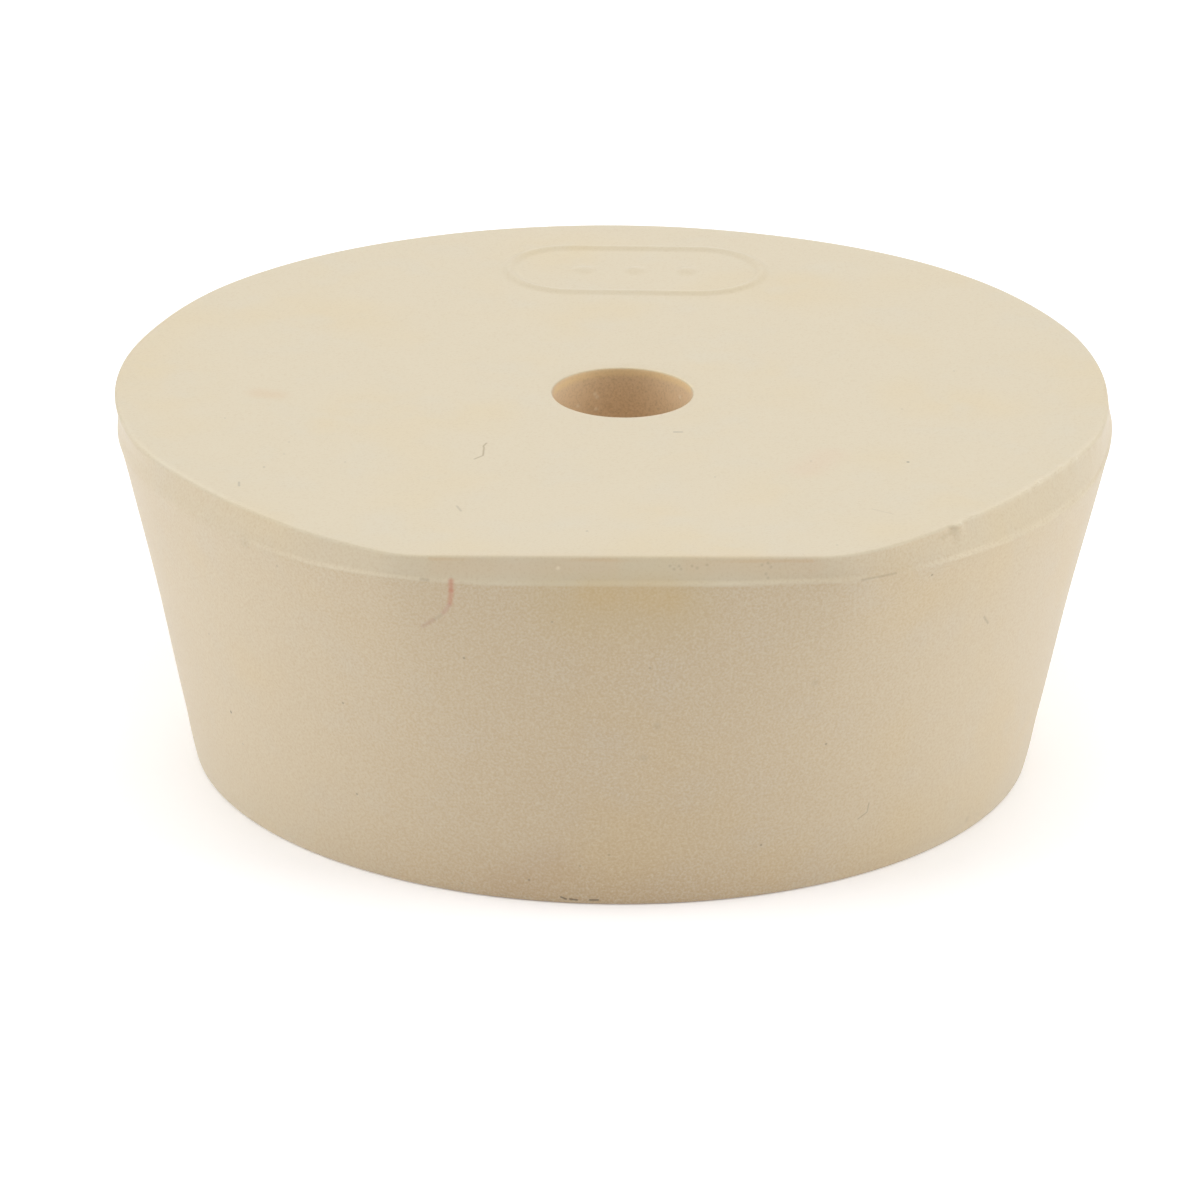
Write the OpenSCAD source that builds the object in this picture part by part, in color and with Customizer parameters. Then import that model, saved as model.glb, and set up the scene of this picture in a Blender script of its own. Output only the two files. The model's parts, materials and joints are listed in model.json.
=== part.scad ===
// Tapered rubber stopper with one drilled hole and a trimmed rim, cut a little flat and curled up at the front.
// Millimetres, +Z up. The origin is on the taper's axis at the base, and the front of the object faces -Y.

/* [Body] */
// Diameter of the tapered wall at the top face
top_d = 68; // [60:0.5:80]
// Diameter of the tapered wall at the base
base_d = 56.7; // [48:0.1:60]
// Height from the base to the top face
height = 25.4; // [22:0.1:40]
// Rounding of the base edge
base_round = 0.8; // [0.2:0.1:2]

/* [Bore] */
// Diameter of the drilled hole
bore_d = 9.525; // [4:0.025:16]
// How far the hole was drilled to the right of the axis
bore_shift = 0.5; // [-2:0.1:2]

/* [Trimmed rim] */
// Diameter that the rim is trimmed to at the top face
rim_top_d = 67.2; // [60:0.1:80]
// How much wider the trimmed band is at its foot, on the diameter
rim_flare = 0.8; // [0:0.1:3]
// Depth of the trimmed band below the top face
rim_depth = 2; // [0.8:0.1:4]
// How far the trimming circle sits behind the axis, so that the band fades out at the back
rim_shift = 0.6; // [0:0.1:2]

/* [Front flat] */
// Distance from the axis to the flat, at the top face
flat_dist = 31.8; // [29:0.1:33.5]
// How far down the wall the flat runs before it dies into the taper
flat_reach = 16; // [8:0.5:22]

/* [Curled rim] */
// How high the front of the rim curls up above the top face
curl_height = 0.6; // [0.2:0.1:2]
// Width of the curled stretch of the rim, from side to side
curl_w = 30; // [16:1:44]
// Distance from the axis at which the top face starts to curl up
curl_start = 17; // [12:0.5:26]

/* [Raised mark] */
// Width of the round-ended outline
mark_w = 18.6; // [12:0.2:24]
// Depth of the round-ended outline, front to back
mark_l = 10; // [6:0.2:11]
// Width of the raised line
mark_line = 0.9; // [0.4:0.1:1.5]
// Height of the raised line and the pips above the top face
mark_height = 0.25; // [0.1:0.05:0.8]
// Distance from the axis to the middle of the mark, towards the back
mark_dist = 24.4; // [16:0.1:26]
// How far the mark sits to the right of the axis
mark_shift = 1.3; // [-3:0.1:3]
// Number of pips inside the outline
pip_count = 3; // [1:1:4]
// Diameter of each pip
pip_d = 1.7; // [0.8:0.1:2.5]
// Distance between the middles of two pips
pip_pitch = 3.6; // [2.6:0.1:4]

/* [Hidden] */
$fn = 96;

rubber_cream = [0.89, 0.84, 0.75];

// Reach of a cutting tool past the surface that it cuts
past = 1;
// Depth that a raised feature is rooted below the top face
root = 0.5;
// Straight steps in the rounding of the base edge
round_steps = 6;

top_r = top_d / 2;
base_r = base_d / 2;
taper = (top_r - base_r) / height;
taper_angle = atan(taper);

// Radius of the tapered wall at a height above the base
function wall_r(z) = base_r + taper * z;

// Diameter of the trimming circle at a height above the foot of the band
function trim_d(z) = rim_top_d + rim_flare * (1 - z / rim_depth);

// The base edge is an arc that touches both the base and the tapered wall
round_centre_r = wall_r(base_round) - base_round / cos(taper_angle);

function base_edge() = [
    for (step = [0:round_steps])
        let (angle = -90 + (90 - taper_angle) * step / round_steps)
        [round_centre_r + base_round * cos(angle), base_round * (1 + sin(angle))]
];

// The flat leans in towards its lower end, where it meets the wall
flat_low = wall_r(height - flat_reach);
flat_lean = atan((flat_dist - flat_low) / flat_reach);

// The curl is the top of a large cylinder that lies front to back and leans up towards the front
curl_r = (pow(curl_w / 2, 2) + pow(curl_height, 2)) / (2 * curl_height);
curl_lean = atan(curl_height / (flat_dist - curl_start));
// The tapered wall is made this tall before the top face is cut
blank_height = height + curl_height + past;

module tapered_blank() {
    profile = concat([[0, 0]], base_edge(), [[wall_r(blank_height), blank_height], [0, blank_height]]);
    rotate_extrude() polygon(profile);
}

// Everything under the flat top face and under the curl at its front
module under_top() {
    translate([0, 0, -past]) cylinder(d = 2 * top_d, h = height + past);
    translate([0, -curl_start, height])
        rotate([90 - curl_lean, 0, 0])
            translate([0, -curl_r, 0]) cylinder(r = curl_r, h = 2 * top_d, center = true, $fn = 720);
}

// Removes what lies outside the trimming circle, over the depth of the band
module rim_cut() {
    translate([0, 0, height - rim_depth])
        difference() {
            cylinder(d = 2 * top_d, h = blank_height);
            translate([0, rim_shift, -past])
                cylinder(d1 = trim_d(-past), d2 = trim_d(blank_height + past), h = blank_height + 2 * past);
        }
}

// Removes what lies in front of the leaning flat
module flat_cut() {
    translate([0, -flat_dist, height])
        rotate([flat_lean, 0, 0])
            translate([-top_d, -top_d, -height])
                cube([2 * top_d, top_d, height + blank_height]);
}

module bore_cut() {
    translate([bore_shift, 0, -past]) cylinder(d = bore_d, h = height + 2 * past);
}

// A bar with round ends, lying along X
module round_ended_bar(width, depth) {
    straight = width - depth;
    for (side = [-1, 1])
        translate([side * straight / 2, 0]) circle(d = depth);
    square([straight, depth], center = true);
}

module raised_mark() {
    translate([mark_shift, mark_dist, height - root]) {
        linear_extrude(root + mark_height)
            difference() {
                round_ended_bar(mark_w, mark_l);
                round_ended_bar(mark_w - 2 * mark_line, mark_l - 2 * mark_line);
            }
        for (i = [0:pip_count - 1])
            translate([(i - (pip_count - 1) / 2) * pip_pitch, 0, 0]) cylinder(d = pip_d, h = root + mark_height);
    }
}

module stopper() {
    color(rubber_cream) {
        difference() {
            intersection() {
                tapered_blank();
                under_top();
            }
            rim_cut();
            flat_cut();
            bore_cut();
        }
        raised_mark();
    }
}

stopper();
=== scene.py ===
import json
import math
from collections import namedtuple

import bpy
import numpy as np
from bpy.props import FloatProperty, FloatVectorProperty, IntProperty, PointerProperty, StringProperty
from mathutils import Matrix, Vector, noise


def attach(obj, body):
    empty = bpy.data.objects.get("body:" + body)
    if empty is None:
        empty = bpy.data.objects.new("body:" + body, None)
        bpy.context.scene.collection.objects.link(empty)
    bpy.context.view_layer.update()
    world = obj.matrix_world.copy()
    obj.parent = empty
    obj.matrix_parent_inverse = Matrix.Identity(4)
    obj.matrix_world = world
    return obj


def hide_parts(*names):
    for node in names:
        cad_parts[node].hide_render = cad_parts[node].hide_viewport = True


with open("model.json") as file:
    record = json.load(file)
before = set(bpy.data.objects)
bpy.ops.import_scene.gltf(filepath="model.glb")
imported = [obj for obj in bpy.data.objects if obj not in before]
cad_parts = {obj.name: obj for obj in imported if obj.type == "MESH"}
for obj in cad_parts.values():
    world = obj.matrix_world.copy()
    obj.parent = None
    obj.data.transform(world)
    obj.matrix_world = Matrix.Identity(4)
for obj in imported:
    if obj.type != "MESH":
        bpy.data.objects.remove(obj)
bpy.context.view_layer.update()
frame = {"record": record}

# A drilled, tapered gum rubber stopper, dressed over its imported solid, on a white studio floor.
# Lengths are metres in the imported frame: +Z up, the base at z 0, the front of the stopper towards -Y.

bl_info = {
    "name": "Rubber Stopper",
    "version": (1, 0, 0),
    "blender": (4, 5, 0),
    "location": "View3D > Sidebar > Stopper",
    "description": "Builds a drilled rubber stopper with a trimmed rim, and the studio that it stands in",
    "category": "Object",
}

MM = 0.001
MOUNTS = {mount["name"]: mount for mount in frame["record"]["mounts"]}
BORE = MOUNTS["tube_bore"]

# The photograph's frame, in pixels, and the sensor that Blender spreads over it
FRAME_SIDE = 1200
SENSOR_MM = 36

# Angles are degrees round the axis: 0 to the right, 90 to the back, -90 to the front
FRONT = -90
BACK = 90
LEFT = 180
# Where the straight front of the rim faces
FLAT_FACING = -88.6


# Sizes and colours that a user would change


class StopperSizes(bpy.types.PropertyGroup):
    """Sizes of the stopper"""

    top_d: FloatProperty(
        name="Top", description="Diameter of the tapered wall at the top face",
        default=68 * MM, unit="LENGTH")
    base_d: FloatProperty(
        name="Base", description="Diameter of the tapered wall at the base",
        default=56.7 * MM, unit="LENGTH")
    height: FloatProperty(
        name="Height", description="Height of the top face above the base",
        default=BORE["dims"]["length_mm"] * MM, unit="LENGTH")
    base_round: FloatProperty(
        name="Base edge", description="Rounding of the base edge",
        default=0.35 * MM, unit="LENGTH")
    bore_r: FloatProperty(
        name="Bore", description="Radius of the drilled hole",
        default=BORE["dims"]["r_mm"] * MM, unit="LENGTH")
    bore_x: FloatProperty(
        name="Bore shift", description="How far the hole was drilled to the right of the axis",
        default=BORE["pos_m"][0], unit="LENGTH")
    bore_round: FloatProperty(
        name="Bore edge", description="Rounding of the hole's two edges",
        default=0.1 * MM, unit="LENGTH")
    rim_r: FloatProperty(
        name="Rim", description="Radius of the circle that the rim is trimmed to",
        default=33.8 * MM, unit="LENGTH")
    rim_depth: FloatProperty(
        name="Rim depth", description="Depth of the trimmed band below the top face",
        default=2 * MM, unit="LENGTH")
    rim_round: FloatProperty(
        name="Rim edge", description="Rounding of the top edge",
        default=0.2 * MM, unit="LENGTH")
    rim_ledge: FloatProperty(
        name="Ledge", description="Width of the ledge that the trimming left at the foot of the band",
        default=0.22 * MM, unit="LENGTH")
    ledge_height: FloatProperty(
        name="Ledge height", description="Height over which the ledge steps in from the wall",
        default=0.34 * MM, unit="LENGTH")
    flat_dist: FloatProperty(
        name="Flat", description="Distance from the axis at which the front of the rim looks cut straight",
        default=30.3 * MM, unit="LENGTH")
    flat_blend: FloatProperty(
        name="Flat ends", description="Rounding of the straight front's two ends",
        default=0.8 * MM, unit="LENGTH")
    flat_reach: FloatProperty(
        name="Flat reach", description="How far down the wall the flat runs before it dies out",
        default=13 * MM, unit="LENGTH")
    curl_share: FloatProperty(
        name="Curl", description="Share of the straight front that is the rim curling up, not cut back",
        default=0.42, subtype="FACTOR", min=0, max=1)
    foot_curl: FloatProperty(
        name="Foot curl", description="How much larger that share is at the foot of the trimmed band",
        default=0.1, subtype="FACTOR", min=0, max=1)
    curl_slope: FloatProperty(
        name="Curl slope", description="Rise of the curled rim per length that it stands out past the flat",
        default=0.374)
    curl_width: FloatProperty(
        name="Curl width", description="How far in from the rim the top face starts to curl up",
        default=16 * MM, unit="LENGTH")
    mark_w: FloatProperty(
        name="Mark width", description="Width of the raised round-ended outline",
        default=18.6 * MM, unit="LENGTH")
    mark_l: FloatProperty(
        name="Mark depth", description="Depth of the raised outline, front to back",
        default=10 * MM, unit="LENGTH")
    mark_line: FloatProperty(
        name="Mark line", description="Width of the raised line",
        default=0.9 * MM, unit="LENGTH")
    mark_height: FloatProperty(
        name="Mark height", description="Height of the raised line and pips",
        default=0.18 * MM, unit="LENGTH")
    mark_x: FloatProperty(
        name="Mark right", description="How far the mark sits to the right of the axis",
        default=1.3 * MM, unit="LENGTH")
    mark_y: FloatProperty(
        name="Mark back", description="How far the mark sits behind the axis",
        default=24.4 * MM, unit="LENGTH")
    pip_count: IntProperty(
        name="Pips", description="Number of pips inside the outline",
        default=3, min=1, max=4)
    pip_d: FloatProperty(
        name="Pip", description="Diameter of each pip",
        default=1.7 * MM, unit="LENGTH")
    pip_pitch: FloatProperty(
        name="Pip pitch", description="Distance between the middles of two pips",
        default=3.6 * MM, unit="LENGTH")


class StopperColours(bpy.types.PropertyGroup):
    """Colours of the stopper, as sRGB hex values"""

    rubber: StringProperty(name="Rubber", description="Colour of clean gum rubber", default="#CEC1A6")
    warm: StringProperty(name="Warm blotch", description="Colour of the warmer blotches", default="#D0BF9C")
    pale: StringProperty(name="Pale blotch", description="Colour of the paler blotches", default="#CDC3AD")
    # Drilled face: bare rubber, painted paler and warmer as bounce light inside the hole
    bore: StringProperty(name="Drilled face", description="Colour of the hole's wall", default="#EBD1AC")
    # Colour of the painted highlights on the top edge and at the foot of the band
    painted_highlight: StringProperty(name="Painted edge highlight", description="Colour of painted highlights on the edges", default="#F3E8CE")
    # Colour of the dirt, which also paints shade on the wall's front, near the base and deep in the hole
    dirt: StringProperty(name="Dirt and painted shade", description="Colour of the dirt and painted shade on the wall", default="#AC7C3A")
    grain: StringProperty(name="Grain", description="Colour of the darker grains", default="#C2AF8E")
    speck: StringProperty(name="Specks", description="Colour of the specks on the back", default="#4E463D")


class StudioSettings(bpy.types.PropertyGroup):
    """Camera, light and floor"""

    distance: FloatProperty(
        name="Distance", description="Distance from the camera to the middle of the stopper",
        default=651.4 * MM, unit="LENGTH")
    elevation: FloatProperty(
        name="Elevation", description="Camera's angle above the horizon",
        default=math.radians(21.57), subtype="ANGLE")
    roll: FloatProperty(
        name="Roll", description="Camera's turn about its own view",
        default=math.radians(0.69), subtype="ANGLE")
    lens: FloatProperty(
        name="Lens", description="Focal length in millimetres",
        default=287.1, unit="CAMERA")
    middle_z: FloatProperty(
        name="Middle", description="Height of the point that the camera circles",
        default=12.2 * MM, unit="LENGTH")
    aim: FloatVectorProperty(
        name="Aim", description="How far right and up of that point the camera aims",
        default=(-0.875 * MM, -1.776 * MM), size=2, unit="LENGTH")
    world: FloatProperty(name="Room light", description="Strength of the light from all round", default=0.1)
    floor: StringProperty(name="Floor", description="Colour of the floor", default="#FCFCFE")
    floor_glow: FloatProperty(
        name="Floor glow", description="Strength of the light that comes up through the floor",
        default=0.16)
    floor_side: FloatProperty(
        name="Floor side", description="Length of the floor's sides",
        default=6, unit="LENGTH")


# Small helpers

# Curves round the axis are worked out this often, and smoothed over this many degrees
CURVE_STEPS_PER_DEGREE = 2
CURVE_SMOOTHING = 8
# Least cosine of the angle off a cut's facing, which keeps the cut far out everywhere else
LEAST_FACING = 0.2


def linear(hex_colour):
    """Linear RGBA of an sRGB hex colour."""
    channels = [int(hex_colour[i:i + 2], 16) / 255 for i in (1, 3, 5)]
    return [c / 12.92 if c <= 0.04045 else ((c + 0.055) / 1.055) ** 2.4 for c in channels] + [1]


def smooth_min(a, b, blend):
    """The smaller of a and b, with the corner between them rounded over blend."""
    near = np.maximum(blend - np.abs(a - b), 0)
    return np.minimum(a, b) - near * near / (4 * blend)


def eased(share):
    """A share from 0 to 1 that starts and ends gently."""
    return share * share * (3 - 2 * share)


def hump(away):
    """A smooth hump, 1 where away is 0, which dies out where away reaches 1."""
    return 0.5 + 0.5 * np.cos(np.pi * np.minimum(away, 1))


def hump_at(angles, middle, half_width):
    """A hump round one angle, which dies out half_width degrees either side."""
    return hump(np.abs((angles - middle + 180) % 360 - 180) / half_width)


def round_about(angles, all_round, *humps):
    """An amount all round the axis, plus humps: angle, half width in degrees, extra amount."""
    return all_round + sum(extra * hump_at(angles, middle, half) for middle, half, extra in humps)


def round_curve(angles, knots):
    """A smooth closed curve round the axis through pairs of angle and amount."""
    at, out = np.array(knots).T
    fine = np.linspace(-360, 360, 720 * CURVE_STEPS_PER_DEGREE + 1)
    line = np.interp(fine, np.concatenate([at - 360, at, at + 360]), np.tile(out, 3))
    window = np.hanning(CURVE_SMOOTHING * CURVE_STEPS_PER_DEGREE + 1)
    return np.interp(angles, fine, np.convolve(line, window / window.sum(), "same"))


def chord(angles, facing, distance):
    """Distance from the axis to a straight cut that faces one angle, seen along each angle."""
    turn = np.cos(np.radians(angles - facing))
    return distance / np.maximum(turn, LEAST_FACING)


def steps(start, end, count):
    """The ends of a count of even steps from start to end."""
    return np.linspace(start, end, count + 1)[1:]


def node(tree, kind, output=None, inputs=(), **settings):
    """Adds a shader node with its settings, sets or links its inputs, and gives one of its outputs."""
    made = tree.nodes.new("ShaderNode" + kind)
    for name, value in settings.items():
        setattr(made, name, value)
    for socket, value in dict(inputs).items():
        if isinstance(value, bpy.types.NodeSocket):
            tree.links.new(value, made.inputs[socket])
        else:
            made.inputs[socket].default_value = value
    return None if output is None else made.outputs[output]


def camera_axes(studio):
    """The camera's place and its right, up and back directions."""
    back = Vector((0, -math.cos(studio.elevation), math.sin(studio.elevation)))
    level_right = Vector((1, 0, 0))
    level_up = back.cross(level_right)
    right = level_right * math.cos(studio.roll) + level_up * math.sin(studio.roll)
    up = level_up * math.cos(studio.roll) - level_right * math.sin(studio.roll)
    middle = Vector((0, 0, studio.middle_z))
    place = middle + back * studio.distance
    aim = middle + right * studio.aim[0] + up * studio.aim[1]
    back = (place - aim).normalized()
    right = up.cross(back).normalized()
    return place, right, back.cross(right), back


def spot_seen_at(obj, studio, pixel):
    """The point of obj that the camera sees at a pixel of the photograph's frame."""
    place, right, up, back = camera_axes(studio)
    per_pixel = SENSOR_MM / studio.lens / FRAME_SIDE
    across = (pixel[0] - FRAME_SIDE / 2) * per_pixel
    down = (pixel[1] - FRAME_SIDE / 2) * per_pixel
    hit, spot, _normal, _face = obj.ray_cast(place, right * across - up * down - back)
    if not hit:
        raise RuntimeError(f"the camera doesn't see {obj.name} at {pixel}")
    return spot


# Shape of the stopper

# What varies round the axis is an amount all round, then humps: angle, half width in degrees, extra amount.

# Segments round the axis, how close together they lie, and how finely that is worked out
SEGMENTS = 540
CLOSENESS = (1, (86, 42, 2.0), (-25, 40, 1.0), (-47.5, 6, 3.0))
CLOSENESS_STEPS_PER_DEGREE = 20

# Steps between the rings of the mesh
BASE_STEPS = 5
WALL_STEPS = 33
LEDGE_STEPS = 8
BAND_STEPS = 9
EDGE_STEPS = 6
BORE_EDGE_STEPS = 3
LIP_STEPS = 5
BORE_STEPS = 7
# Stretches of the top face, from the rim in to the hole: share of the way in at its end, steps.
# The mark lies in the middle one, where the rings are a fifth of a millimetre apart.
TOP_STRETCHES = ((0.06, 4), (0.54, 69), (1, 11))
# Height at which the close rings of the ledge start, as a share of the ledge's height
LEDGE_START = -0.35
# Depth below the hole's top edge over which its rings lie closer together
LIP_DEPTH = 1 * MM

# How unevenly the rim was trimmed by hand: angle, millimetres outside its circle
RIM_WAVES = (
    (-180, 0), (-172, -0.1), (-163, -0.1), (-157, -0.28), (-150, -0.64), (-145, -0.78), (-134, -0.8),
    (-128, -0.54), (-122, -0.43), (-115, -0.2), (-90, 0), (-66, -0.3), (-61, -0.5), (-57, -0.52),
    (-52, -0.95), (-43, -1.25), (-30, -1.4), (-26, -1.25), (-18, -0.86), (-12, -0.54), (2, -0.45),
    (12, -0.16), (22, 0.18), (30, 0.34), (40, 0.58), (50, 0.65), (60, 0.51), (72, 0.26),
    (85, 0.2), (100, 0.08), (115, 0.06), (130, 0.2), (145, 0.28), (158, 0.05), (170, 0.08))
# How much deeper or shallower the trimmed band is: angle, millimetres
DEPTH_WAVES = (
    (-180, 0.3), (-150, -0.1), (-136, 0), (-126, 0.05), (-115, -0.4), (-104, 0), (-76, 0), (-66, -0.23),
    (-54, 0), (-46, 0.05), (-38, 0.25), (-20, 0.45), (-13, 0.4), (-7, 0), (-1, -0.3), (30, -0.2))
# How far the foot of the band stands out of the wall, on the left
FOOT_SWELL = (0, (LEFT, 35, 0.1 * MM))
# Share of the ledge's width, which dies out on the left
LEDGE_SHARE = (0.1, (-60, 95, 0.9))
# Depth of the band's hollow half way up, deepest on the left
BAND_HOLLOW = (0.02 * MM, (LEFT, 40, 0.1 * MM))

# The torn stretch of the rim, on the right: angle, half width in degrees
TORN_STRETCH = (-24, 26)
# How far the tear wanders in and out, and up, and the roughness from which it stands up
TORN_OUT = 0.09 * MM
TORN_UP = 0.05 * MM
TORN_LEAST = -0.4
# Two sizes of roughness along the tear: waves per degree, place in the noise, share
TORN_WAVES = ((0.9, 3.1, 1), (2.3, 7.7, 0.6))
# The nick in the rim and the lump beside it, by how far they stand out
NICK = (0, (-46.5, 1.3, 0.22 * MM), (-48, 0.9, -0.1 * MM))
# Bits of moulding flash on the torn edge, by how far they stand up
FLASH_BITS = (
    0, (-43.6, 0.8, 0.07 * MM), (-29.4, 0.9, 0.1 * MM), (-24.2, 0.8, 0.12 * MM), (-20.7, 0.8, 0.1 * MM))

# How sharply the flat fades down the wall, and the height over which a foot that stands out swells from it
FLAT_FADE = 1.5
SWELL_HEIGHT = 3 * MM
# The wall barrels out above the base edge and is hollow half way up: height, half height, how far out
WALL_WAVES = ((1.3 * MM, 2.6 * MM, 0.07 * MM), (13 * MM, 9 * MM, -0.11 * MM))

# Half width of the soft raised line and radius of a soft pip, as shares of the line's and the pip's width
SOFT_LINE = 0.62
SOFT_PIP = 0.6


def round_angles():
    """The angles of the mesh's segments, closer together where there is fine detail."""
    fine = np.linspace(-180, 180, 360 * CLOSENESS_STEPS_PER_DEGREE + 1)
    share = round_about(fine, *CLOSENESS)
    along = np.concatenate([[0], np.cumsum((share[1:] + share[:-1]) / 2)])
    return np.interp(np.arange(SEGMENTS) / SEGMENTS * along[-1], along, fine)


def torn_edge(angles):
    """How far the torn stretch of the rim, on the right, stands out and up, by angle."""
    torn = hump_at(angles, *TORN_STRETCH)
    rough = np.zeros_like(angles)
    for fineness, place, share in TORN_WAVES:
        rough += [share * noise.noise((angle * fineness, place, 0)) for angle in angles]
    out = TORN_OUT * torn * rough + round_about(angles, *NICK)
    up = TORN_UP * torn * np.maximum(rough - TORN_LEAST, 0) + round_about(angles, *FLASH_BITS)
    return out, up


class StopperForm:
    """The stopper's outer surface, worked out from its sizes for a set of angles."""

    def __init__(self, sizes, angles):
        self.sizes = sizes
        self.angles = angles
        self.cos = np.cos(np.radians(angles))
        self.sin = np.sin(np.radians(angles))
        self.base_r = sizes.base_d / 2
        self.taper = (sizes.top_d - sizes.base_d) / 2 / sizes.height
        trimmed = sizes.rim_r + MM * round_curve(angles, RIM_WAVES)
        self.rim, self.rim_z = self.curled(trimmed, sizes.height, sizes.curl_share)
        self.torn_out, self.torn_up = torn_edge(angles)
        low = sizes.height - sizes.rim_depth - MM * round_curve(angles, DEPTH_WAVES)
        swollen = self.cone(low) + round_about(angles, *FOOT_SWELL)
        self.foot, self.foot_z = self.curled(swollen, low, sizes.curl_share + sizes.foot_curl)
        self.push = self.cone(self.foot_z) - self.foot
        self.ledge = sizes.rim_ledge * round_about(angles, *LEDGE_SHARE)
        self.hollow = round_about(angles, *BAND_HOLLOW)

    def cone(self, z):
        """Radius of the round taper at a height."""
        return self.base_r + self.taper * z

    def curled(self, radius, z, curl_share):
        """Radius and height of an edge whose front is partly cut back and partly curled up."""
        sizes = self.sizes
        cut = smooth_min(radius, chord(self.angles, FLAT_FACING, sizes.flat_dist), sizes.flat_blend)
        out = curl_share * (radius - cut)
        return cut + out, z + sizes.curl_slope * out * np.maximum(-self.sin, 0)

    def wall(self, share):
        """Radius and height on the wall, a share of the way from the base edge to the foot of the band."""
        start = self.sizes.base_round
        z = start + (self.foot_z - start) * share
        low = self.sizes.height - self.sizes.flat_reach
        fall = np.clip((z - low) / (self.foot_z - low), 0, 1) ** FLAT_FADE
        swell = np.clip(1 - (self.foot_z - z) / SWELL_HEIGHT, 0, 1) ** 2
        radius = self.cone(z) - np.maximum(self.push, 0) * fall - np.minimum(self.push, 0) * swell
        for middle, half_height, out in WALL_WAVES:
            radius = radius + out * hump(np.abs(z - middle) / half_height)
        return radius, z

    def ring(self, radius, z, centre=(0, 0)):
        """Points of one closed ring."""
        z = np.broadcast_to(z, self.angles.shape)
        return np.stack([centre[0] + radius * self.cos, centre[1] + radius * self.sin, z], axis=1)


def base_rings(form):
    """Rings from the hole's lower edge, across the underside and round the base edge."""
    sizes = form.sizes
    lean = math.atan(form.taper)
    centre_r = form.wall(0)[0] - sizes.base_round / math.cos(lean)
    bore = form.ring(sizes.bore_r + sizes.bore_round, 0, (sizes.bore_x, 0))
    edge = form.ring(centre_r, 0)
    rings = [bore]
    for share in steps(0, 1, BASE_STEPS):
        rings.append(bore + (edge - bore) * share)
    for turn in steps(-math.pi / 2, -lean, EDGE_STEPS):
        radius = centre_r + sizes.base_round * math.cos(turn)
        rings.append(form.ring(radius, sizes.base_round * (1 + math.sin(turn))))
    return rings


def wall_rings(form):
    """Rings up the tapered wall, over the ledge and up the trimmed band to the top edge."""
    sizes = form.sizes
    rings = [form.ring(*form.wall(share)) for share in steps(0, 1, WALL_STEPS)[:-1]]
    foot, foot_z = form.wall(1)
    for share in np.linspace(LEDGE_START, 1, LEDGE_STEPS + 1):
        radius = foot - form.ledge * eased(max(share, 0))
        rings.append(form.ring(radius, foot_z + sizes.ledge_height * share))
    start_z = foot_z + sizes.ledge_height
    end_z = form.rim_z - sizes.rim_round
    for share in steps(0, 1, BAND_STEPS):
        radius = (foot - form.ledge) * (1 - share) + form.rim * share + form.torn_out * share * share
        radius = radius - form.hollow * math.sin(math.pi * share)
        rings.append(form.ring(radius, start_z + (end_z - start_z) * share))
    return rings


def mark_height(sizes, x, y):
    """Height of the raised outline and its pips above the top face."""
    x = x - sizes.mark_x
    y = y - sizes.mark_y
    half_straight = (sizes.mark_w - sizes.mark_l) / 2
    end_r = (sizes.mark_l - sizes.mark_line) / 2
    off_line = np.abs(np.hypot(np.maximum(np.abs(x) - half_straight, 0), y) - end_r)
    raised = hump(off_line / (SOFT_LINE * sizes.mark_line))
    for i in range(sizes.pip_count):
        middle = (i - (sizes.pip_count - 1) / 2) * sizes.pip_pitch
        raised = np.maximum(raised, hump(np.hypot(x - middle, y) / (SOFT_PIP * sizes.pip_d)))
    return sizes.mark_height * raised


def top_rings(form):
    """Rings over the rounded top edge and in across the top face to the hole."""
    sizes = form.sizes
    rings = []
    for turn in steps(0, math.pi / 2, EDGE_STEPS):
        radius = form.rim + form.torn_out - sizes.rim_round * (1 - math.cos(turn))
        rise = form.torn_up * math.sin(turn) ** 2
        rings.append(form.ring(radius, form.rim_z - sizes.rim_round * (1 - math.sin(turn)) + rise))
    outer = rings[-1]
    inner = form.ring(sizes.bore_r + sizes.bore_round, sizes.height, (sizes.bore_x, 0))
    lift = form.rim_z - sizes.height
    start = 0
    for end, count in TOP_STRETCHES:
        for share in steps(start, end, count):
            face = outer + (inner - outer) * share
            inward = np.minimum(np.hypot(*(face - outer)[:, :2].T) / sizes.curl_width, 1)
            curl = lift * (1 - eased(inward))
            face[:, 2] = sizes.height + curl + mark_height(sizes, face[:, 0], face[:, 1])
            rings.append(face)
        start = end
    return rings


def bore_rings(form):
    """Rings over the hole's top edge, down its wall and round its lower edge."""
    sizes = form.sizes
    centre = (sizes.bore_x, 0)
    turns = steps(0, math.pi / 2, BORE_EDGE_STEPS)
    rings = []
    for turn in turns:
        radius = sizes.bore_r + sizes.bore_round * (1 - math.sin(turn))
        rings.append(form.ring(radius, sizes.height - sizes.bore_round * (1 - math.cos(turn)), centre))
    edge_z = sizes.height - sizes.bore_round
    lip_z = edge_z - LIP_DEPTH
    for z in (*steps(edge_z, lip_z, LIP_STEPS), *steps(lip_z, sizes.bore_round, BORE_STEPS)):
        rings.append(form.ring(sizes.bore_r, z, centre))
    for turn in turns[:-1]:
        radius = sizes.bore_r + sizes.bore_round * (1 - math.cos(turn))
        rings.append(form.ring(radius, sizes.bore_round * (1 - math.sin(turn)), centre))
    return rings


# Painted highlights, dirt and painted shade, stored on the points of the mesh

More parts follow.
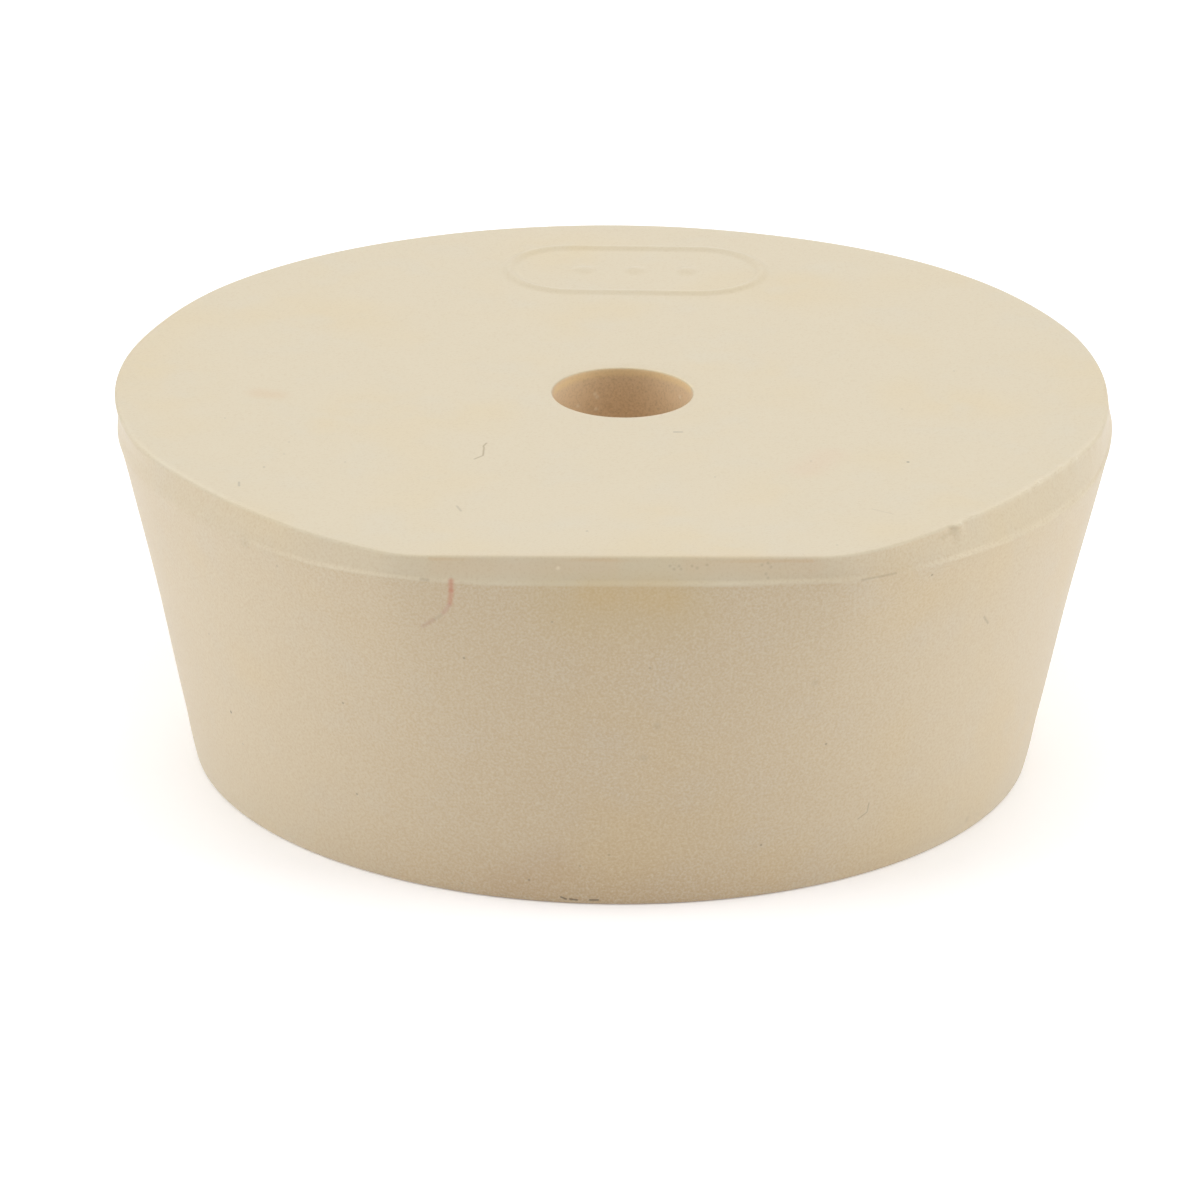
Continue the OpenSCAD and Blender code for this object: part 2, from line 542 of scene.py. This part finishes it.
# Painted highlight along the foot of the band, where its ledge catches the light: angle, share
FOOT_HIGHLIGHT = (
    (-142, 0), (-128, 0.5), (-121, 0.8), (-112, 0.5), (-103, 0.25), (-92, 0.2), (-84, 0.3), (-77, 0.45),
    (-68, 0.4), (-61, 0.1), (-56, 0), (-51, 0.5), (-46, 1), (-39, 0.4), (-30, 0.6), (-22, 0.4),
    (-10, 0.2), (0, 0))
# Painted highlight along the top edge, at both sides of the front
EDGE_HIGHLIGHT = (0, (-150, 34, 0.5), (-28, 32, 0.7))
# Where the edge's painted highlight starts and is full, and the foot's starts, is full, fades and ends, as
# shares of the way up the band
EDGE_HIGHLIGHT_UP = (0.95, 0.98)
FOOT_HIGHLIGHT_UP = (-0.02, 0.03, 0.1, 0.17)
# How far in from the rim the top edge's painted highlight fades and ends
EDGE_HIGHLIGHT_IN = (0.15 * MM, 0.5 * MM)

# Shares of darkening: dirt and painted shade on the wall, painted shade near the base, darkening of the
# band, painted shade in the hole
WALL_DIRT_AND_SHADE = (0.135, (FRONT, 60, 0.105))
LOW_SHADE = (-0.07, (FRONT, 75, 0.17))
BAND_DARKENING = (0.07, (FLAT_FACING, 45, -0.07), (-140, 45, 0.045), (-58, 20, 0.085))
HOLE_SHADE = (0.05, (BACK, 60, 0.18))
# Height over which the painted shade near the base fades
LOW_SHADE_HEIGHT = 5 * MM
# Where the wall's dirt and painted shade fades and ends, and the band's darkening starts, is full, fades
# and ends, up the band
WALL_DIRT_AND_SHADE_UP = (-0.06, 0)
BAND_DARKENING_UP = (-0.06, 0, 0.9, 0.96)
# Depths in the hole, and the share of its painted shade at each
HOLE_SHADE_DEPTH = (0.1 * MM, 0.6 * MM, 3 * MM)
HOLE_SHADE_SHARE = (0, 0.75, 1)
# How far inside the base's and the rim's radius a point still belongs to the wall or the band
WALL_THICK = 3 * MM
BAND_THICK = 0.5 * MM
# Rings of the hole's rounded edge that the moulded skin runs over
SKIN_RINGS = 2


def painted_highlight_share(form, points):
    """How much painted highlight each point gets, from 0 to 1: the top edge at both sides, the foot of the
    band.
    """
    inside = form.rim - np.hypot(points[..., 0], points[..., 1])
    up = (points[..., 2] - form.foot_z) / (form.rim_z - form.foot_z)
    edge = np.interp(up, EDGE_HIGHLIGHT_UP, (0, 1)) * np.interp(inside, EDGE_HIGHLIGHT_IN, (1, 0))
    foot = np.interp(up, FOOT_HIGHLIGHT_UP, (0, 1, 1, 0)) * (inside < BAND_THICK)
    edge = edge * round_about(form.angles, *EDGE_HIGHLIGHT)
    return np.maximum(edge, foot * round_curve(form.angles, FOOT_HIGHLIGHT))


def dirt_and_shade_share(form, points):
    """How far each point is darkened: dirt and painted shade on the wall, its front most, painted shade
    near the base, the band less, and painted shade deeper in the hole.
    """
    sizes = form.sizes
    angles = form.angles
    height = points[..., 2]
    radius = np.hypot(points[..., 0], points[..., 1])
    up = (height - form.foot_z) / (form.rim_z - form.foot_z)
    wall = np.interp(up, WALL_DIRT_AND_SHADE_UP, (1, 0)) * (radius > form.base_r - WALL_THICK)
    # Painted shade near the base, most at the front
    low = eased(np.clip(1 - height / LOW_SHADE_HEIGHT, 0, 1))
    band = np.interp(up, BAND_DARKENING_UP, (0, 1, 1, 0)) * (radius > form.rim - BAND_THICK)
    hole = np.hypot(points[..., 0] - sizes.bore_x, points[..., 1]) < sizes.bore_r + sizes.bore_round / 2
    # Painted shade that deepens down the hole
    deep_shade = hole * np.interp(sizes.height - height, HOLE_SHADE_DEPTH, HOLE_SHADE_SHARE)
    on_wall = wall * (round_about(angles, *WALL_DIRT_AND_SHADE) + low * round_about(angles, *LOW_SHADE))
    return on_wall + band * round_about(angles, *BAND_DARKENING) + deep_shade * round_about(angles, *HOLE_SHADE)


def add_share(mesh, name, values):
    """Stores a number for each point of the mesh, for the finish to read."""
    layer = mesh.attributes.new(name, "FLOAT", "POINT")
    layer.data.foreach_set("value", np.ravel(values).astype(np.float32))


def stopper_mesh(sizes):
    """One closed mesh of rings, out under the base, up the wall, in over the top and down the hole."""
    form = StopperForm(sizes, round_angles())
    moulded = base_rings(form) + wall_rings(form) + top_rings(form)
    rings = moulded + bore_rings(form)
    count = len(rings)
    here = np.arange(count)[:, None] * SEGMENTS
    above = (np.arange(count)[:, None] + 1) % count * SEGMENTS
    left = np.arange(SEGMENTS)[None, :]
    right = (left + 1) % SEGMENTS
    faces = np.stack([here + left, here + right, above + right, above + left], axis=-1).reshape(-1, 4)
    mesh = bpy.data.meshes.new("stopper_rubber")
    mesh.from_pydata(np.concatenate(rings).tolist(), [], faces.tolist())
    mesh.shade_smooth()
    mesh.validate()
    points = np.array(rings)
    # Painted highlights on the top edge and at the foot of the band
    add_share(mesh, "painted_highlight", painted_highlight_share(form, points))
    # Dirt and painted shade on the wall, painted shade near the base and in the hole, darkening of the band
    add_share(mesh, "dirt", dirt_and_shade_share(form, points))
    # The drilled face, painted paler and warmer as bounce light inside the hole
    add_share(mesh, "drilled", np.repeat(np.arange(count) >= len(moulded) + SKIN_RINGS, SEGMENTS))
    return mesh


# Finish of the rubber

# A mark of moulding, use or handling, or painted light or shade: what it is, its colour, width and
# strength, and where it lies, as lines and dots of pixels in the photograph's frame
Mark = namedtuple("Mark", "what colour width strength lines dots", defaults=((), ()))

RUBBER_MARKS = (
    # Darker amber tone on the wall just under the front of the band
    Mark("darker amber tone", "#C0A870", 5 * MM, 0.22, lines=(
        ((566, 600), (676, 606)),)),
    Mark("darker amber tone under the flat", "#C9A45C", 2.2 * MM, 0.16, lines=(
        ((590, 594), (610, 594)), ((640, 594), (670, 598)))),
    Mark("warm line under the top edge", "#C79A5E", 0.26 * MM, 0.18, lines=(
        ((430, 559), (600, 560), (760, 561), (812, 561)),)),
    Mark("warm blush on the band", "#CFA070", 1.3 * MM, 0.1, lines=(
        ((440, 566), (610, 566)), ((690, 566), (815, 566)))),
    Mark("brown blush", "#A98466", 3.4 * MM, 0.1, lines=(
        ((506, 888), (552, 866)),)),
    Mark("pink blush", "#D3A78C", 2.4 * MM, 0.14, lines=(
        ((806, 470), (830, 455)),)),
    Mark("brown smudge", "#C9A57C", 1.7 * MM, 0.25, lines=(
        ((260, 393), (275, 395)),)),
    Mark("grey smudge", "#94866F", 0.85 * MM, 0.14, dots=(
        (245, 543),)),
    Mark("faint smudges", "#8F8069", 0.52 * MM, 0.16, dots=(
        (815, 683), (967, 819), (644, 758), (657, 726))),
    Mark("red streak", "#C0785D", 0.36 * MM, 0.6, lines=(
        ((451, 581), (451, 590)),)),
    Mark("red streak's lower end", "#C0785D", 0.36 * MM, 0.48, lines=(
        ((451, 592), (450, 603)),)),
    Mark("streak bend", "#BB8E82", 0.3 * MM, 0.4, lines=(
        ((449, 605), (446, 610), (443, 613)),)),
    Mark("streak gap", "#AA9A80", 0.26 * MM, 0.35, lines=(
        ((441, 615), (435, 619)),)),
    Mark("streak tail", "#AD8471", 0.3 * MM, 0.4, lines=(
        ((433, 620), (423, 626)),)),
    Mark("fibre", "#8E7850", 0.13 * MM, 0.6, lines=(
        ((474.5, 459), (483, 455.5), (484, 448), (483.5, 446), (486.5, 443)),)),
    Mark("hair", "#7A6F60", 0.1 * MM, 0.38, lines=(
        ((869, 803), (867, 812), (858, 819)),)),
    # Painted shade inside a slit at the foot of the band
    Mark("painted shade in the slit", "#7E6A4E", 0.15 * MM, 0.26, lines=(
        ((862, 580), (880, 576.5), (896, 573)),)),
    # Painted shadow below the nick in the rim
    Mark("painted shadow under the nick", "#9A845F", 0.3 * MM, 0.16, lines=(
        ((942, 538), (950, 533)),)),
    Mark("scratch", "#8C7D68", 0.12 * MM, 0.2, lines=(
        ((872, 509), (893, 514)),)),
    Mark("dash", "#5A4F45", 0.14 * MM, 0.55, lines=(
        ((674, 432), (682, 432)),)),
    Mark("scuffs", "#8A795F", 0.2 * MM, 0.26, lines=(((421, 579), (428, 580)),), dots=(
        (670, 566), (674, 569), (679, 566), (681, 569), (692, 566), (697, 568), (707, 565), (762, 565),
        (768, 563), (771, 567), (766, 574), (768, 578))),
    Mark("short marks", "#7E6F58", 0.17 * MM, 0.32, lines=(
        ((984, 617), (988, 623)), ((457, 506), (461, 511)))),
    Mark("black specks", "#352D27", 0.2 * MM, 0.75, dots=(
        (908, 462), (231, 712))),
    Mark("dark specks", "#4E463D", 0.16 * MM, 0.5, dots=(
        (264, 467), (587, 531), (343, 703), (357, 794), (464, 658), (932, 575), (826, 744), (761, 845),
        (529, 880))),
    Mark("faint specks", "#6B6154", 0.15 * MM, 0.35, lines=(((239, 482), (239, 486)),), dots=(
        (284, 454), (289, 442), (225, 418), (345, 462), (954, 371), (902, 409), (811, 461), (715, 477),
        (277, 566), (243, 744), (650, 668), (552, 622), (580, 866), (837, 545), (609, 855), (209, 634),
        (462, 883))),
    Mark("dirt on the base edge", "#3E372F", 0.14 * MM, 0.65, lines=(
        ((561, 897), (566, 899)), ((570, 899), (577, 900)), ((590, 900), (598, 900)))),
    Mark("pale pimple", "#EFE4CD", 0.26 * MM, 0.4, dots=(
        (558, 568),)),
    # Painted glints on the torn edge of the rim
    Mark("painted glints on the torn edge", "#FFFBF0", 0.15 * MM, 0.22, dots=(
        (961, 523), (1039, 482), (1077, 458))),
    # Painted light glowing along the back of the hole's lip
    Mark("painted glow on the lip of the hole", "#FFE4A6", 0.55 * MM, 0.42, lines=(
        ((555, 391), (566, 383), (583, 376.5), (606, 373), (632, 372.3), (657, 375.2), (677, 381.5),
         (690, 390)),)),
    Mark("glints in the hole", "#FFF6E2", 0.28 * MM, 0.36, dots=(
        (595, 394), (597, 397), (578, 406), (596, 409), (680, 397))),
)
# Shares of a mark's width at which it starts to fade and at which it ends
MARK_FADE_START = 0.05
MARK_FADE_END = 0.85

# Patterns of the broad and small blotches, where the rubber mixed unevenly, and of the fine moulded grain
BROAD_BLOTCHES = {"Scale": 1 / (9 * MM), "Detail": 2, "Roughness": 0.45}
SMALL_BLOTCHES = {"Scale": 1 / (4 * MM), "Detail": 3, "Roughness": 0.5}
GRAIN = {"Scale": 1 / (0.17 * MM), "Detail": 2, "Roughness": 0.6}
# Specks of dirt on the back of the wall, by the distance between them
SPECKS = {"Scale": 1 / (2.2 * MM)}

# How each pattern turns into a share of colour
WARM_SHARE = {"From Min": 0.5, "From Max": 0.72, "To Max": 0.6}
PALE_SHARE = {"From Min": 0.52, "From Max": 0.75, "To Max": 0.6}
DIRT_AND_SHADE_SHARE = {"From Min": 0.35, "From Max": 0.65, "To Min": 0.5, "To Max": 1.5}
DARK_SHARE = {"From Min": 0.5, "From Max": 0.8, "To Max": 0.5}
SPECK_SHARE = {"From Min": 0.02, "From Max": 0.045, "To Min": 0.45, "To Max": 0}
# How far behind the axis the specks start and are full, and the share of dirt and painted shade that tells
# the wall from the rest
SPECK_BACK = {"From Min": 4 * MM, "From Max": 10 * MM}
SPECK_DIRT_AND_SHADE = {"From Min": 0.06, "From Max": 0.12}
# How strongly the painted highlights on the edges turn pale
PAINTED_HIGHLIGHT_STRENGTH = 0.3
# Height of the grain, how much of it the light shows, and how the roughness follows the small blotches
GRAIN_BUMP = {"Distance": 0.1 * MM, "Strength": 0.12}
ROUGHNESS = {"To Min": 0.52, "To Max": 0.64}
# Sockets of a Mix node for colours, by number because several have the same name: three inputs, one output
MIX_SHARE = 0
MIX_UNDER = 6
MIX_OVER = 7
MIX_RESULT = 2


def blotch_layers(tree, broad, small, colours):
    """Warm and pale blotches, where the rubber mixed unevenly."""
    warm = node(tree, "MapRange", "Result", {"Value": broad, **WARM_SHARE})
    pale = node(tree, "MapRange", "Result", {"Value": small, **PALE_SHARE})
    return [("warm blotches", warm, colours.warm), ("pale blotches", pale, colours.pale)]


def handling_layers(tree, grain, colours):
    """The drilled hole, bare of moulded skin and painted paler with bounce light, painted highlights on the
    edges, dirt and painted shade that the grain breaks up, and dark grains.
    """
    drilled, painted_highlight, dirt = [
        node(tree, "Attribute", "Fac", attribute_name=name) for name in ("drilled", "painted_highlight", "dirt")]
    # Painted highlights on the edges
    painted_highlight = node(tree, "Math", "Value", {0: painted_highlight, 1: PAINTED_HIGHLIGHT_STRENGTH}, operation="MULTIPLY")
    # Dirt and painted shade, broken up by the grain
    uneven = node(tree, "MapRange", "Result", {"Value": grain, **DIRT_AND_SHADE_SHARE}, clamp=False)
    dirt = node(tree, "Math", "Value", {0: dirt, 1: uneven}, operation="MULTIPLY")
    dark = node(tree, "MapRange", "Result", {"Value": grain, **DARK_SHARE})
    return [
        # The drilled face's colour also paints bounce light inside the hole
        ("drilled face", drilled, colours.bore),
        ("worn edges", painted_highlight, colours.painted_highlight),
        ("dirt", dirt, colours.dirt),
        ("dark grains", dark, colours.grain),
    ]


def speck_layers(tree, place, colours):
    """Specks of dirt on the back of the wall."""
    away = node(tree, "TexVoronoi", "Distance", {"Vector": place, **SPECKS})
    share = node(tree, "MapRange", "Result", {"Value": away, **SPECK_SHARE})
    behind = node(tree, "SeparateXYZ", "Y", {"Vector": place})
    # The share of dirt and painted shade tells the wall from the rest
    dirt = node(tree, "Attribute", "Fac", attribute_name="dirt")
    for value, ends in ((behind, SPECK_BACK), (dirt, SPECK_DIRT_AND_SHADE)):
        inside = node(tree, "MapRange", "Result", {"Value": value, **ends})
        share = node(tree, "Math", "Value", {0: share, 1: inside}, operation="MULTIPLY")
    return [("specks on the back", share, colours.speck)]


def stroke_distance(tree, place, start, end):
    """Distance from the shaded point to a straight stroke."""
    along = end - start
    per_length = along / along.length_squared
    from_start = node(tree, "VectorMath", "Vector", {0: place, 1: start}, operation="SUBTRACT")
    share = node(tree, "VectorMath", "Value", {0: from_start, 1: per_length}, operation="DOT_PRODUCT")
    share = node(tree, "Clamp", "Result", {"Value": share})
    foot = node(tree, "VectorMath", "Vector", {0: along, "Scale": share}, operation="SCALE")
    return node(tree, "VectorMath", "Value", {0: from_start, 1: foot}, operation="DISTANCE")


def mark_layers(tree, place, stopper, studio):
    """Each kind of mark, as soft strokes and dots at the points of the surface that its pixels show."""
    layers = []
    for mark in RUBBER_MARKS:
        distances = []
        for line in mark.lines:
            spots = [spot_seen_at(stopper, studio, pixel) for pixel in line]
            distances += [stroke_distance(tree, place, start, end) for start, end in zip(spots, spots[1:])]
        for pixel in mark.dots:
            spot = spot_seen_at(stopper, studio, pixel)
            distances.append(node(tree, "VectorMath", "Value", {0: place, 1: spot}, operation="DISTANCE"))
        nearest = distances[0]
        for distance in distances[1:]:
            nearest = node(tree, "Math", "Value", {0: nearest, 1: distance}, operation="MINIMUM")
        fade = {
            "Value": nearest,
            "From Min": MARK_FADE_START * mark.width,
            "From Max": MARK_FADE_END * mark.width,
            "To Min": mark.strength,
            "To Max": 0,
        }
        share = node(tree, "MapRange", "Result", fade, interpolation_type="SMOOTHSTEP")
        layers.append((mark.what, share, mark.colour))
    return layers


def gum_rubber(stopper, colours, studio):
    """Moulded gum rubber: dead matt cream with faint warm and pale blotches, a fine moulded grain that
    breaks up the light, a soft sheen at grazing angles, the stains and specks of handling, and painted
    highlights, glints, glow and shade."""
    material = bpy.data.materials.new("moulded_gum_rubber")
    material.use_nodes = True
    tree = material.node_tree
    tree.nodes.clear()
    place = node(tree, "TexCoord", "Object")
    broad, small, grain = [
        node(tree, "TexNoise", "Fac", {"Vector": place, **pattern})
        for pattern in (BROAD_BLOTCHES, SMALL_BLOTCHES, GRAIN)]
    colour = linear(colours.rubber)
    for label, share, tint in (
            *blotch_layers(tree, broad, small, colours),
            *handling_layers(tree, grain, colours),
            *speck_layers(tree, place, colours),
            *mark_layers(tree, place, stopper, studio)):
        layer = {MIX_SHARE: share, MIX_UNDER: colour, MIX_OVER: linear(tint)}
        colour = node(tree, "Mix", MIX_RESULT, layer, data_type="RGBA", label=label)
    rubber = node(tree, "BsdfPrincipled", "BSDF", {
        "Base Color": colour,
        "Roughness": node(tree, "MapRange", "Result", {"Value": small, **ROUGHNESS}),
        "IOR": 1.5,
        "Normal": node(tree, "Bump", "Normal", {"Height": grain, **GRAIN_BUMP}),
        "Sheen Weight": 0.22,
        "Sheen Roughness": 0.4,
    })
    node(tree, "OutputMaterial", inputs={"Surface": rubber})
    return material


def floor_paint(studio):
    """White acrylic sheet of a light table: even, without grain, and lit a little from below."""
    material = bpy.data.materials.new("white_acrylic_light_table")
    material.use_nodes = True
    tree = material.node_tree
    tree.nodes.clear()
    paint = node(tree, "BsdfPrincipled", "BSDF", {
        "Base Color": linear(studio.floor),
        "Roughness": 0.9,
        "Emission Color": linear(studio.floor),
        "Emission Strength": studio.floor_glow,
    })
    node(tree, "OutputMaterial", inputs={"Surface": paint})
    return material


# Operators


class STOPPER_OT_rubber(bpy.types.Operator):
    """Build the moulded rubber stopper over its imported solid"""

    bl_idname = "stopper.rubber"
    bl_label = "Rubber Stopper"

    def execute(self, context):
        scene = context.scene
        stopper = bpy.data.objects.new("rubber_stopper", stopper_mesh(scene.stopper_sizes))
        scene.collection.objects.link(stopper)
        context.view_layer.update()
        stopper.data.materials.append(gum_rubber(stopper, scene.stopper_colours, scene.stopper_studio))
        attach(stopper, "root")
        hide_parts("stopper")
        return {"FINISHED"}


# Softboxes: name, place, width, height, power in watts
SOFTBOXES = (
    ("light_left", (-0.9, -0.05, 0.45), 0.9, 0.9, 5.9),
    ("light_right", (0.9, -0.05, 0.45), 0.9, 0.9, 5.9),
    ("light_back", (0, 1.0, 0.6), 1.2, 0.8, 4.9),
    ("light_top", (0, -0.2, 1.0), 1.2, 1.2, 7.6),
)
ROOM_WHITE = (1, 1, 1, 1)


class STOPPER_OT_studio(bpy.types.Operator):
    """Set up the camera, the white floor and the soft studio light"""

    bl_idname = "stopper.studio"
    bl_label = "Studio"

    def execute(self, context):
        scene = context.scene
        studio = scene.stopper_studio
        self.add_camera(scene, studio)
        self.add_floor(scene, studio)
        self.add_light(scene, studio)
        scene.view_settings.view_transform = "Standard"
        return {"FINISHED"}

    def add_camera(self, scene, studio):
        """Adds the camera at the photograph's angle."""
        place, right, up, back = camera_axes(studio)
        lens = bpy.data.cameras.new("studio_camera")
        lens.lens = studio.lens
        lens.sensor_width = SENSOR_MM
        camera = bpy.data.objects.new("studio_camera", lens)
        camera.matrix_world = Matrix.Translation(place) @ Matrix((right, up, back)).transposed().to_4x4()
        scene.collection.objects.link(camera)
        scene.camera = camera

    def add_floor(self, scene, studio):
        """Adds the floor that the stopper stands on."""
        half = studio.floor_side / 2
        mesh = bpy.data.meshes.new("studio_floor")
        corners = [(-half, -half, 0), (half, -half, 0), (half, half, 0), (-half, half, 0)]
        mesh.from_pydata(corners, [], [(0, 1, 2, 3)])
        mesh.materials.append(floor_paint(studio))
        floor = bpy.data.objects.new("studio_floor", mesh)
        scene.collection.objects.link(floor)

    def add_light(self, scene, studio):
        """Adds the light of the room, and softboxes that face the stopper."""
        world = bpy.data.worlds.new("studio_room")
        world.use_nodes = True
        background = world.node_tree.nodes["Background"]
        background.inputs["Strength"].default_value = studio.world
        background.inputs["Color"].default_value = ROOM_WHITE
        scene.world = world
        middle = Vector((0, 0, studio.middle_z))
        for name, spot, width, height, power in SOFTBOXES:
            light = bpy.data.lights.new(name, "AREA")
            light.shape = "RECTANGLE"
            light.size = width
            light.size_y = height
            light.energy = power
            box = bpy.data.objects.new(name, light)
            box.location = spot
            box.rotation_euler = (middle - box.location).to_track_quat("-Z", "Y").to_euler()
            scene.collection.objects.link(box)


class STOPPER_PT_sidebar(bpy.types.Panel):
    """Sizes, colours and studio of the stopper"""

    bl_idname = "STOPPER_PT_sidebar"
    bl_label = "Rubber Stopper"
    bl_space_type = "VIEW_3D"
    bl_region_type = "UI"
    bl_category = "Stopper"

    def draw(self, context):
        layout = self.layout
        for operator in OPERATORS:
            layout.operator(operator.bl_idname)
        for name in SETTINGS:
            group = getattr(context.scene, name)
            column = layout.column(align=True)
            for setting in group.__annotations__:
                column.prop(group, setting)


SETTINGS = {
    "stopper_sizes": StopperSizes,
    "stopper_colours": StopperColours,
    "stopper_studio": StudioSettings,
}
OPERATORS = (STOPPER_OT_studio, STOPPER_OT_rubber)
CLASSES = (*SETTINGS.values(), *OPERATORS, STOPPER_PT_sidebar)


def register():
    for cls in CLASSES:
        bpy.utils.register_class(cls)
    for name, group in SETTINGS.items():
        setattr(bpy.types.Scene, name, PointerProperty(type=group))


def unregister():
    for name in SETTINGS:
        delattr(bpy.types.Scene, name)
    for cls in reversed(CLASSES):
        bpy.utils.unregister_class(cls)


def main():
    register()
    bpy.ops.stopper.studio()
    bpy.ops.stopper.rubber()


if __name__ == "__main__":
    main()
